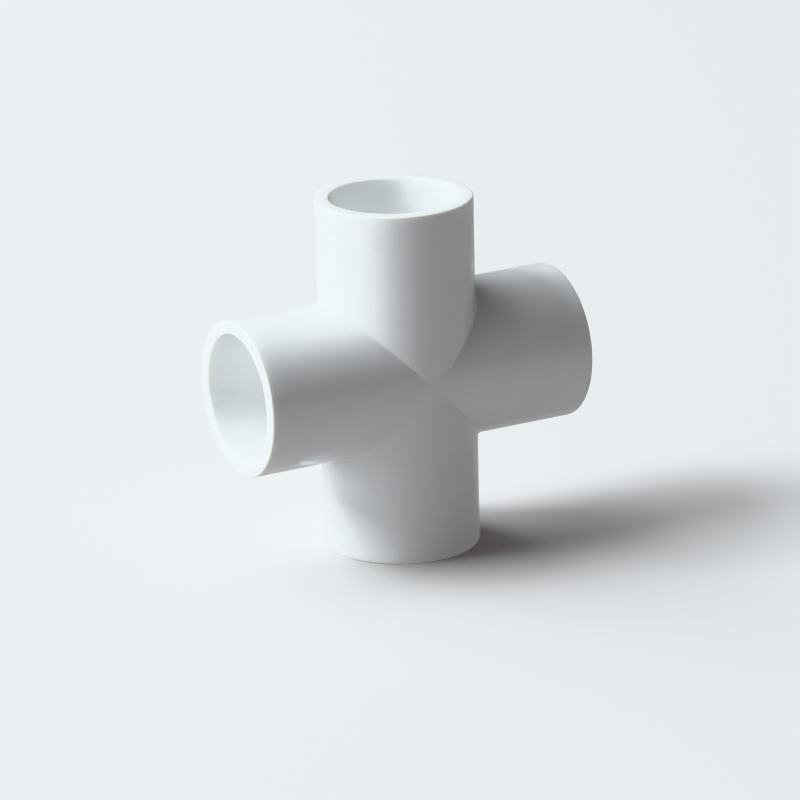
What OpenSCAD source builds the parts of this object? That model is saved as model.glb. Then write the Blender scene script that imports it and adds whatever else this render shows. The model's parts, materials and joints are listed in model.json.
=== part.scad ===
// Equal cross for 20 mm solvent-weld pressure pipe, in unplasticised PVC.
// The real cross is one injection moulding. It is divided here at plain
// cross-sections into a hub and four sockets, which meet face to face.
// Origin: the point where the two pipe axes cross. +Z runs up the vertical
// run, +X along the horizontal run, and both runs lie in the XZ plane.

/* [Sockets] */
// Inside diameter of a socket
socket_d = 20.2; // [20.1:0.05:20.4]
// Depth from the rim to the pipe stop
socket_depth = 16; // [14:0.5:20]
// Outside diameter of both runs
barrel_d = 24.5; // [23.5:0.1:26]
// Rounding of the outer edge of a rim
rim_outer_r = 0.25; // [0.1:0.05:0.5]
// Rounding of the inner edge of a rim, which leads the pipe in
rim_inner_r = 0.3; // [0.1:0.05:0.5]

/* [Hub] */
// Distance from the centre to each pipe stop
stop_distance = 12; // [11:0.5:13]
// Diameter of the waterway between the pipe stops
waterway_d = 17; // [15:0.5:18]
// Distance from the centre to the faces where the hub meets the sockets
hub_reach = 14; // [13.5:0.25:15]

/* [Hidden] */
barrel_r = barrel_d / 2;
socket_r = socket_d / 2;
half_length = stop_distance + socket_depth;
// Overrun of a cutting solid past the face that it opens
overrun = 1;
// Each socket's name with the rotation that carries +Z to its own direction
TURN_TOP = [0, 0, 0];
TURN_BOTTOM = [180, 0, 0];
TURN_RIGHT = [0, 90, 0];
TURN_LEFT = [0, -90, 0];
$fn = 128;

// Solid bar along Z through the centre
module run_bar(d, length) {
    cylinder(d = d, h = length, center = true);
}

// The socket bore's inner end, as cut into the hub beyond one pipe stop
module stop_recess() {
    translate([0, 0, stop_distance])
        cylinder(d = socket_d, h = hub_reach - stop_distance + overrun);
}

// Centre of the cross: both runs crossing, the waterway and the four pipe stops
module hub() {
    color("whitesmoke") difference() {
        union() {
            run_bar(barrel_d, 2 * hub_reach);
            rotate(TURN_RIGHT) run_bar(barrel_d, 2 * hub_reach);
        }
        run_bar(waterway_d, 2 * (hub_reach + overrun));
        rotate(TURN_RIGHT) run_bar(waterway_d, 2 * (hub_reach + overrun));
        for (turn = [TURN_TOP, TURN_BOTTOM, TURN_RIGHT, TURN_LEFT])
            rotate(turn) stop_recess();
    }
}

// Half section of a socket: x is the radius and y the height along the bore
module socket_section() {
    difference() {
        translate([socket_r, hub_reach])
            square([barrel_r - socket_r, half_length - hub_reach]);
        rim_corner_cut(barrel_r, rim_outer_r, 1);
        rim_corner_cut(socket_r, rim_inner_r, -1);
    }
}

// What rounding removes from a rim corner at a radius; side is 1 on the outside
module rim_corner_cut(corner_r, round_r, side) {
    translate([corner_r, half_length]) difference() {
        translate([side > 0 ? -round_r : -overrun, -round_r])
            square([round_r + overrun, round_r + overrun]);
        translate([-side * round_r, -round_r]) circle(r = round_r);
    }
}

// One socket standing on +Z
module socket() {
    color("whitesmoke") rotate_extrude() socket_section();
}

module socket_top() { rotate(TURN_TOP) socket(); }
module socket_bottom() { rotate(TURN_BOTTOM) socket(); }
module socket_right() { rotate(TURN_RIGHT) socket(); }
module socket_left() { rotate(TURN_LEFT) socket(); }

hub();
socket_top();
socket_bottom();
socket_right();
socket_left();
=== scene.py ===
"""Looks of the PVC-U pipe cross: the moulding's five regions, their plastic, the floor, the lights and the camera."""

import json
import math

import bmesh
import bpy
from mathutils import Matrix, Vector


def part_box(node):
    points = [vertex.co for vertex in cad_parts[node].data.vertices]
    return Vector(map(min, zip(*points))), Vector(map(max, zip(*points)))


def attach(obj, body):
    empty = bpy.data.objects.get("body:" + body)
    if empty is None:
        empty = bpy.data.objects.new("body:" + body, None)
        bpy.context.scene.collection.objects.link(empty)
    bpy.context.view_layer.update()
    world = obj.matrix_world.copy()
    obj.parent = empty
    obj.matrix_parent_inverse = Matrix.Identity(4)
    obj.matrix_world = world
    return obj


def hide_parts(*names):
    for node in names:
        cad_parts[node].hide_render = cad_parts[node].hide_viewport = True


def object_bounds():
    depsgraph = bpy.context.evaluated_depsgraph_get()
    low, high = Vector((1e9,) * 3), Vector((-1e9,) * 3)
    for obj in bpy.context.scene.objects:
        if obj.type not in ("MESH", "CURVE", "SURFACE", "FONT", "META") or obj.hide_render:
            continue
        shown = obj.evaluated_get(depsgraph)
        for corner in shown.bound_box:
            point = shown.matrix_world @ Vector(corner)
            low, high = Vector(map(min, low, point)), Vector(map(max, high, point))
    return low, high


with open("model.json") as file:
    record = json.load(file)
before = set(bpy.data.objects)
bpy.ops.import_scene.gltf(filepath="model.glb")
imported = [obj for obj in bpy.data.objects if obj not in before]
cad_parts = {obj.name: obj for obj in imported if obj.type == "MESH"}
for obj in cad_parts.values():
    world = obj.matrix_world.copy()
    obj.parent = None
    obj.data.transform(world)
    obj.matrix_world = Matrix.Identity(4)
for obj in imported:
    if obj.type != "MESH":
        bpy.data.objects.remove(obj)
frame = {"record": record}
cad_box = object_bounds()

MM = 0.001

# ---- Sizes from the frame -------------------------------------------------------------------------------------

mounts = {mount["name"]: mount for mount in frame["record"]["mounts"]}
socket_low, socket_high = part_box("socket_top")
BARREL_R = socket_high.x
HUB_REACH = socket_low.z
HALF_LENGTH = socket_high.z
SOCKET_R = mounts["socket_top"]["dims"]["r_mm"] * MM
STOP_DISTANCE = mounts["socket_top"]["pos_m"][2]
WALL_LENGTH = mounts["socket_top"]["dims"]["length_mm"] * MM
RIM_INNER_R = HALF_LENGTH - STOP_DISTANCE - WALL_LENGTH

# ---- Sizes that only the looks need ---------------------------------------------------------------------------

WATERWAY_R = 8.5 * MM
RIM_OUTER_R = 0.25 * MM
CROTCH_R = 0.65 * MM  # fillet outside, where the runs meet
RIDGE_R = 0.3 * MM  # rounding inside, where the waterways meet
STOP_EDGE_R = 0.2 * MM
STOP_ROOT_R = 0.25 * MM
PARTING_HEIGHT = 0.012 * MM
PARTING_WIDTH = 0.22 * MM
PARTING_FADE = 1 * MM  # the line dies out over this length below each rim
EVEN_COLUMNS = 160
WELD_DISTANCE = 0.5e-6
SHARP_ANGLE = math.radians(40)

# The rotation that carries +Z to each socket's direction
TURNS = {
    "top": Matrix.Identity(3),
    "bottom": Matrix.Rotation(math.pi, 3, "X"),
    "right": Matrix.Rotation(math.pi / 2, 3, "Y"),
    "left": Matrix.Rotation(-math.pi / 2, 3, "Y"),
}


# ---- Shapes ---------------------------------------------------------------------------------------------------


def column_angles():
    """Angles round a run. They crowd at the parting plane, so that its fine line has room for its shape."""
    even = [2 * math.pi * i / EVEN_COLUMNS for i in range(EVEN_COLUMNS)]
    near = [k * PARTING_WIDTH / 4 / BARREL_R for k in range(-5, 6)]
    crowded = [turn + step for turn in (0, math.pi) for step in near]
    clear = [a for a in even if all(abs(math.remainder(a - b, 2 * math.pi)) > 0.02 for b in crowded)]
    return sorted(a % (2 * math.pi) for a in clear + crowded)


def arc(centre, radius, start, end, steps):
    """Points (radius, height) along an arc in a run's half section; the angles are in degrees."""
    angles = [math.radians(start + (end - start) * i / steps) for i in range(steps + 1)]
    return [(centre[0] + radius * math.cos(a), centre[1] + radius * math.sin(a)) for a in angles]


def straight(start, end, steps):
    """Points (radius, height) evenly along a line, without its two ends."""
    shares = [i / steps for i in range(1, steps)]
    return [(start[0] + (end[0] - start[0]) * s, start[1] + (end[1] - start[1]) * s) for s in shares]


def blend_row(radius, blend, angle, reach, distance):
    """The point on a run's skin at a distance from the plane halfway to the next run.

    Two bars of one radius cross, and a ball of radius blend rolls along where they meet. The ball touches each bar
    at the height where its centre is, and its own surface joins the two.
    """
    c, s = math.cos(angle), math.sin(angle)
    centre = Vector((c, s, abs(c))) * (radius + blend)
    to_bar = Vector((-c, -s, 0))
    to_middle = Vector((-c, -2 * s, -abs(c))).normalized()
    sweep = to_bar.angle(to_middle, 0)
    arc_length = blend * sweep
    if distance >= arc_length:
        height = centre.z + distance - arc_length
        return Vector((radius * c, radius * s, min(height, reach)))
    share = 1 - distance / arc_length
    turned = to_bar.slerp(to_middle, share) if sweep > 1e-6 else to_bar
    return centre + turned * blend


def blend_column(radius, blend, angle, reach):
    """Points on a run's skin from the plane halfway to the next run up to just under reach."""
    c, s = math.cos(angle), math.sin(angle)
    sweep = Vector((-c, -s, 0)).angle(Vector((-c, -2 * s, -abs(c))), 0)
    total = reach - (radius + blend) * abs(c) + blend * sweep
    fine = min(max(blend * sweep, 0.6 * MM), total * 0.6)
    near = [fine * i / 7 for i in range(8)]
    far = [fine + (total - fine) * i / 7 for i in range(1, 7)]
    return [blend_row(radius, blend, angle, reach, d) for d in near + far]


def ring_points(section, angle):
    return [Vector((r * math.cos(angle), r * math.sin(angle), z)) for r, z in section]


def raise_parting_line(point, angle):
    """Lifts a point of the outer skin by the height of the mould's parting line, which runs along the XZ plane."""
    c, s = math.cos(angle), math.sin(angle)
    ball = Vector((c, s, abs(c))) * (BARREL_R + CROTCH_R)
    normal = (ball - point).normalized() if point.z < ball.z else Vector((c, s, 0))
    outside = math.hypot(point.x, point.y) > BARREL_R - WELD_DISTANCE / 5
    below_rim = min(max((HALF_LENGTH - RIM_OUTER_R - point.z) / PARTING_FADE, 0), 1)
    lift = PARTING_HEIGHT * outside * below_rim * math.exp(-((2 * point.y / PARTING_WIDTH) ** 2))
    return point + normal * lift


def hub_section():
    """The hub's half section on one run, from the waterway out over the pipe stop to the outer skin."""
    stop_edge = (WATERWAY_R + STOP_EDGE_R, STOP_DISTANCE - STOP_EDGE_R)
    root = (SOCKET_R - STOP_ROOT_R, STOP_DISTANCE + STOP_ROOT_R)
    return (
        arc(stop_edge, STOP_EDGE_R, 180, 90, 5)
        + arc(root, STOP_ROOT_R, -90, 0, 5)
        + [(SOCKET_R, HUB_REACH), (BARREL_R, HUB_REACH)]
    )


def socket_section():
    """A socket's closed half section, from its joint with the hub up the bore, over the rim and down the barrel."""
    lead_in = (SOCKET_R + RIM_INNER_R, HALF_LENGTH - RIM_INNER_R)
    edge = (BARREL_R - RIM_OUTER_R, HALF_LENGTH - RIM_OUTER_R)
    bore = [(SOCKET_R, HUB_REACH)] + straight((SOCKET_R, HUB_REACH), (SOCKET_R, lead_in[1]), 8)
    barrel = straight((BARREL_R, edge[1]), (BARREL_R, HUB_REACH), 8) + [(BARREL_R, HUB_REACH)]
    return bore + arc(lead_in, RIM_INNER_R, 180, 90, 6) + arc(edge, RIM_OUTER_R, 90, 0, 6) + barrel


def add_grid(mesh, columns, turn, closed_section):
    """Faces between neighbouring columns of points, right round a run."""
    rows = [[mesh.verts.new(turn @ p) for p in column] for column in columns]
    count = len(rows[0])
    for i, column in enumerate(rows):
        other = rows[(i + 1) % len(rows)]
        for j in range(count if closed_section else count - 1):
            k = (j + 1) % count
            mesh.faces.new((column[j], other[j], other[k], column[k]))


def finish_mesh(mesh, name):
    """Welds the runs, shades smooth with sharp corners kept, and makes the object."""
    bmesh.ops.remove_doubles(mesh, verts=mesh.verts, dist=WELD_DISTANCE)
    bmesh.ops.recalc_face_normals(mesh, faces=mesh.faces)
    for face in mesh.faces:
        face.smooth = True
    for edge in mesh.edges:
        edge.smooth = edge.is_manifold and edge.calc_face_angle(0) < SHARP_ANGLE
    data = bpy.data.meshes.new(name)
    mesh.to_mesh(data)
    mesh.free()
    piece = bpy.data.objects.new(name, data)
    bpy.context.scene.collection.objects.link(piece)
    return piece


def make_hub():
    mesh = bmesh.new()
    for turn in TURNS.values():
        columns = []
        for angle in column_angles():
            waterway = blend_column(WATERWAY_R, RIDGE_R, angle, STOP_DISTANCE - STOP_EDGE_R)
            skin = blend_column(BARREL_R, CROTCH_R, angle, HUB_REACH)
            skin = [raise_parting_line(p, angle) for p in reversed(skin)]
            columns.append(waterway + ring_points(hub_section(), angle) + skin)
        add_grid(mesh, columns, turn, closed_section=False)
    return finish_mesh(mesh, "moulded_hub")


def make_socket(side):
    mesh = bmesh.new()
    columns = []
    for angle in column_angles():
        points = ring_points(socket_section(), angle)
        columns.append([raise_parting_line(p, angle) for p in points])
    add_grid(mesh, columns, TURNS[side], closed_section=True)
    return finish_mesh(mesh, "moulded_socket_" + side)


# ---- Plastic --------------------------------------------------------------------------------------------------

DARKEST_SHADE, LIGHTEST_SHADE = (0.914, 0.922, 0.912), (0.953, 0.961, 0.951)
GRAIN, PEEL, CLOUD, STREAK = 0.3 * MM, 1.3 * MM, 6.0 * MM, 0.35 * MM
GRAIN_DEPTH, PEEL_DEPTH, STREAK_DEPTH = 0.0022 * MM, 0.007 * MM, 0.004 * MM
STREAK_STRETCH = 25  # a streak's length over its width
SKIN_ROUGHNESS, SKIN_VARIATION = 0.05, 0.05
BORE_ROUGHNESS, BORE_VARIATION = 0.16, 0.12
RIM_EXTRA_ROUGHNESS = 0.08
GLOW_STARTS, GLOW_FULL = HALF_LENGTH - 7 * MM, HALF_LENGTH - 3 * MM


class Shading:
    """A material's node tree, written as short sums of sockets."""

    def __init__(self, name):
        self.material = bpy.data.materials.new(name)
        self.material.use_nodes = True
        self.tree = self.material.node_tree
        self.shader = self.tree.nodes["Principled BSDF"]

    def node(self, kind, inputs, **settings):
        """A node with its inputs set by name or place: a socket is linked, anything else is a value."""
        made = self.tree.nodes.new("ShaderNode" + kind)
        for setting, value in settings.items():
            setattr(made, setting, value)
        for key, value in inputs.items():
            if isinstance(value, bpy.types.NodeSocket):
                self.tree.links.new(value, made.inputs[key])
            else:
                made.inputs[key].default_value = value
        return made

    def math(self, operation, *values):
        return self.node("Math", dict(enumerate(values)), operation=operation).outputs[0]

    def vector(self, x, y, z):
        return self.node("CombineXYZ", {0: x, 1: y, 2: z}).outputs[0]

    def noise(self, place, grain, detail=2.0):
        """Noise about 0.5 with lumps of about the size of grain."""
        inputs = {"Vector": place, "Scale": 1 / grain, "Detail": detail}
        return self.node("TexNoise", inputs).outputs["Fac"]

    def remap(self, value, low, high, new_low, new_high):
        inputs = {"Value": value, 1: low, 2: high, 3: new_low, 4: new_high}
        return self.node("MapRange", inputs, interpolation_type="SMOOTHSTEP").outputs["Result"]

    def mix_colour(self, share, first, second):
        mixer = self.node("Mix", {"Factor": share}, data_type="RGBA")
        for key, value in ((6, first), (7, second)):
            if isinstance(value, bpy.types.NodeSocket):
                self.tree.links.new(value, mixer.inputs[key])
            else:
                mixer.inputs[key].default_value = (*value, 1)
        return mixer.outputs[2]

    def bump(self, height, depth, normal=None):
        inputs = {"Height": height, "Distance": depth, "Strength": 1.0}
        if normal:
            inputs["Normal"] = normal
        return self.node("Bump", inputs).outputs["Normal"]

    def feed(self, socket, value):
        self.tree.links.new(value, self.shader.inputs[socket])


def white_pvc():
    """Glossy white moulded PVC-U: a polished skin with faint orange peel, and satin bores drawn off long cores."""
    pvc = Shading("white_pvc")
    place = pvc.node("TexCoord", {}).outputs["Object"]
    x, y, z = pvc.node("SeparateXYZ", {0: place}).outputs
    x_size, z_size = pvc.math("ABSOLUTE", x), pvc.math("ABSOLUTE", z)
    along = pvc.math("MAXIMUM", x_size, z_size)
    across = pvc.math("MINIMUM", x_size, z_size)
    from_axis = pvc.math("SQRT", pvc.math("ADD", pvc.math("MULTIPLY", y, y), pvc.math("MULTIPLY", across, across)))
    wall_middle = (SOCKET_R + BARREL_R) / 2
    inside = pvc.remap(from_axis, wall_middle - 0.4 * MM, wall_middle, 1, 0)
    on_rim = pvc.remap(along, HALF_LENGTH - 0.2 * MM, HALF_LENGTH - 0.1 * MM, 0, 1)

    # Streaks run along each run's own axis
    upright = pvc.math("GREATER_THAN", z_size, x_size)
    lengthwise = pvc.math("MULTIPLY", pvc.math("ADD", x, z), 1 / STREAK_STRETCH)
    level = pvc.math("SUBTRACT", 1.0, upright)
    sideways = pvc.math("ADD", pvc.math("MULTIPLY", x, upright), pvc.math("MULTIPLY", z, level))
    drawn = pvc.vector(sideways, y, lengthwise)
    streaks = pvc.noise(drawn, STREAK, detail=3.0)
    grain = pvc.noise(place, GRAIN, detail=1.0)
    peel = pvc.noise(place, PEEL)
    clouds = pvc.noise(place, CLOUD, detail=3.0)

    shade = pvc.math("MULTIPLY_ADD", grain, 0.35, pvc.math("MULTIPLY", clouds, 0.65))
    pvc.feed("Base Color", pvc.mix_colour(shade, DARKEST_SHADE, LIGHTEST_SHADE))

    polish = pvc.math("MULTIPLY_ADD", peel, SKIN_VARIATION, SKIN_ROUGHNESS)
    drawn_polish = pvc.math("MULTIPLY_ADD", streaks, BORE_VARIATION, BORE_ROUGHNESS)
    roughness = pvc.math("MULTIPLY_ADD", inside, pvc.math("SUBTRACT", drawn_polish, polish), polish)
    pvc.feed("Roughness", pvc.math("MULTIPLY_ADD", on_rim, RIM_EXTRA_ROUGHNESS, roughness))

    normal = pvc.bump(peel, PEEL_DEPTH)
    normal = pvc.bump(grain, GRAIN_DEPTH, normal)
    normal = pvc.bump(pvc.math("MULTIPLY", streaks, inside), STREAK_DEPTH, normal)
    pvc.feed("Normal", normal)

    # Light seeps about a millimetre through the wall at the open ends, the red furthest
    pvc.shader.subsurface_method = "BURLEY"
    shader = pvc.shader.inputs
    shader["IOR"].default_value = 1.53
    shader["Subsurface Radius"].default_value = (1.0, 0.9, 0.65)
    shader["Subsurface Scale"].default_value = 0.9 * MM
    pvc.feed("Subsurface Weight", pvc.remap(along, GLOW_STARTS, GLOW_FULL, 0, 1))
    return pvc.material


# ---- Stage ----------------------------------------------------------------------------------------------------

KEY_COLOUR = (0.875, 0.95, 1.0)
FILL_COLOUR = (0.985, 0.93, 0.955)
AIR_BRIGHTNESS = 0.125
BACKDROP = (0.70, 0.72, 0.74)
FLOOR_HALF_SIZE = 6.0
FLOOR_BOUNCE = (0.17, 0.165, 0.165)
FLOOR_GLOW = 0.21
FLOOR_SEEN = (0.69, 0.665, 0.65)
FADE_STARTS, FADE_ENDS = 0.5, 2.2
SOFTBOX_DISTANCE = 2.4

# Azimuth, elevation, width and height in degrees as the cross sees them, brightness, colour
SOFTBOXES = {
    "key_softbox": (-110, 38, 26, 32, 17.8, KEY_COLOUR),
    "low_softbox": (-95, 7, 50, 12, 4.8, KEY_COLOUR),
    "back_softbox": (-155, 24, 34, 36, 5.3, KEY_COLOUR),
    "top_softbox": (-150, 60, 30, 30, 4.6, KEY_COLOUR),
    "fill_softbox": (60, 8, 50, 16, 0.35, FILL_COLOUR),
}


def direction(azimuth, elevation):
    """Away from the cross: azimuth 0 is -Y, where a camera at azimuth 0 stands, and azimuth 90 is +X."""
    turn, rise = math.radians(azimuth), math.radians(elevation)
    return Vector((math.sin(turn) * math.cos(rise), -math.cos(turn) * math.cos(rise), math.sin(rise)))


def pale_to_the_eye(tree, lighting, seen, output):
    """Shows the camera one shader, while the light that falls on the cross comes from the other."""
    ray = tree.nodes.new("ShaderNodeLightPath")
    mixer = tree.nodes.new("ShaderNodeMixShader")
    tree.links.new(ray.outputs["Is Camera Ray"], mixer.inputs[0])
    tree.links.new(lighting.outputs[0], mixer.inputs[1])
    tree.links.new(seen.outputs[0], mixer.inputs[2])
    tree.links.new(mixer.outputs[0], output.inputs["Surface"])


def add_floor():
    """Pale paper that fades into the backdrop.

    It throws back less light than it shows, as a small sheet in a dark room would.
    """
    size = FLOOR_HALF_SIZE
    z = cad_box[0].z
    data = bpy.data.meshes.new("floor")
    data.from_pydata([(-size, -size, z), (size, -size, z), (size, size, z), (-size, size, z)], [], [(0, 1, 2, 3)])
    floor = bpy.data.objects.new("floor", data)
    bpy.context.scene.collection.objects.link(floor)
    material = bpy.data.materials.new("floor_paper")
    material.use_nodes = True
    tree = material.node_tree
    bounce = tree.nodes["Principled BSDF"]
    bounce.inputs["Base Color"].default_value = (*FLOOR_BOUNCE, 1)
    bounce.inputs["Roughness"].default_value = 0.9
    bounce.inputs["Emission Color"].default_value = (*FILL_COLOUR, 1)
    bounce.inputs["Emission Strength"].default_value = FLOOR_GLOW

    paper = tree.nodes.new("ShaderNodeBsdfDiffuse")
    paper.inputs["Color"].default_value = (*FLOOR_SEEN, 1)
    distant = tree.nodes.new("ShaderNodeEmission")
    distant.inputs["Color"].default_value = (*BACKDROP, 1)
    place = tree.nodes.new("ShaderNodeTexCoord")
    distance = tree.nodes.new("ShaderNodeVectorMath")
    distance.operation = "LENGTH"
    fade = tree.nodes.new("ShaderNodeMapRange")
    fade.interpolation_type = "SMOOTHSTEP"
    fade.inputs["From Min"].default_value = FADE_STARTS
    fade.inputs["From Max"].default_value = FADE_ENDS
    seen = tree.nodes.new("ShaderNodeMixShader")
    tree.links.new(place.outputs["Object"], distance.inputs[0])
    tree.links.new(distance.outputs["Value"], fade.inputs["Value"])
    tree.links.new(fade.outputs["Result"], seen.inputs[0])
    tree.links.new(paper.outputs[0], seen.inputs[1])
    tree.links.new(distant.outputs[0], seen.inputs[2])
    pale_to_the_eye(tree, bounce, seen, tree.nodes["Material Output"])
    data.materials.append(material)


def add_softbox(name, azimuth, elevation, width, height, brightness, colour):
    """A soft box whose place and size are the angles, in degrees, under which the cross sees it."""
    distance = SOFTBOX_DISTANCE
    away = direction(azimuth, elevation)
    lamp = bpy.data.lights.new(name, "AREA")
    lamp.shape = "RECTANGLE"
    lamp.size = 2 * distance * math.tan(math.radians(width / 2))
    lamp.size_y = 2 * distance * math.tan(math.radians(height / 2))
    lamp.energy = brightness * math.pi * lamp.size * lamp.size_y
    lamp.color = colour
    holder = bpy.data.objects.new(name, lamp)
    holder.location = away * distance
    holder.rotation_euler = away.to_track_quat("Z", "Y").to_euler()
    holder.visible_camera = False
    bpy.context.scene.collection.objects.link(holder)


def add_air():
    """Dim light from all round, behind which the camera sees a pale backdrop."""
    world = bpy.data.worlds.new("studio_air")
    world.use_nodes = True
    tree = world.node_tree
    air = tree.nodes["Background"]
    air.inputs["Color"].default_value = (*FILL_COLOUR, 1)
    air.inputs["Strength"].default_value = AIR_BRIGHTNESS
    backdrop = tree.nodes.new("ShaderNodeBackground")
    backdrop.inputs["Color"].default_value = (*BACKDROP, 1)
    pale_to_the_eye(tree, air, backdrop, tree.nodes["World Output"])
    bpy.context.scene.world = world


def add_lights():
    """A large cool key from the left, a low box under it, two behind, and a dim warm fill from all round."""
    for name, setting in SOFTBOXES.items():
        add_softbox(name, *setting)
    add_air()


def add_camera():
    """Long lens from the front left, a little above, as for a product photograph."""
    azimuth, elevation, roll = (math.radians(a) for a in (-27.95, 18.23, -1.42))
    distance = 661.4 * MM
    aim_right, aim_down = 0.31 * MM, 4.92 * MM
    right = Vector((math.cos(azimuth), math.sin(azimuth), 0))
    back = Vector((math.sin(azimuth), -math.cos(azimuth), 0)) * math.cos(elevation)
    back.z = math.sin(elevation)
    up = back.cross(right)
    level = Matrix((right, up, back)).transposed()
    tilted = level @ Matrix.Rotation(roll, 3, "Z")
    origin_seen = Vector((-aim_right, aim_down, -distance))
    turn = origin_seen.rotation_difference(Vector((0, 0, -1))).to_matrix()
    data = bpy.data.cameras.new("camera")
    data.lens, data.sensor_width = 191.3, 36
    data.clip_start, data.clip_end = 0.05, 20
    camera = bpy.data.objects.new("camera", data)
    camera.matrix_world = Matrix.Translation(back * distance) @ (tilted @ turn).to_4x4()
    bpy.context.scene.collection.objects.link(camera)
    bpy.context.scene.camera = camera


# ---- Assembly -------------------------------------------------------------------------------------------------

add_camera()
add_lights()
add_floor()

plastic = white_pvc()
pieces = {"hub": make_hub()}
for side in TURNS:
    pieces["socket_" + side] = make_socket(side)
for node, piece in pieces.items():
    piece.data.materials.append(plastic)
    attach(piece, "root")
    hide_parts(node)

bpy.context.scene.view_settings.view_transform = "Khronos PBR Neutral"
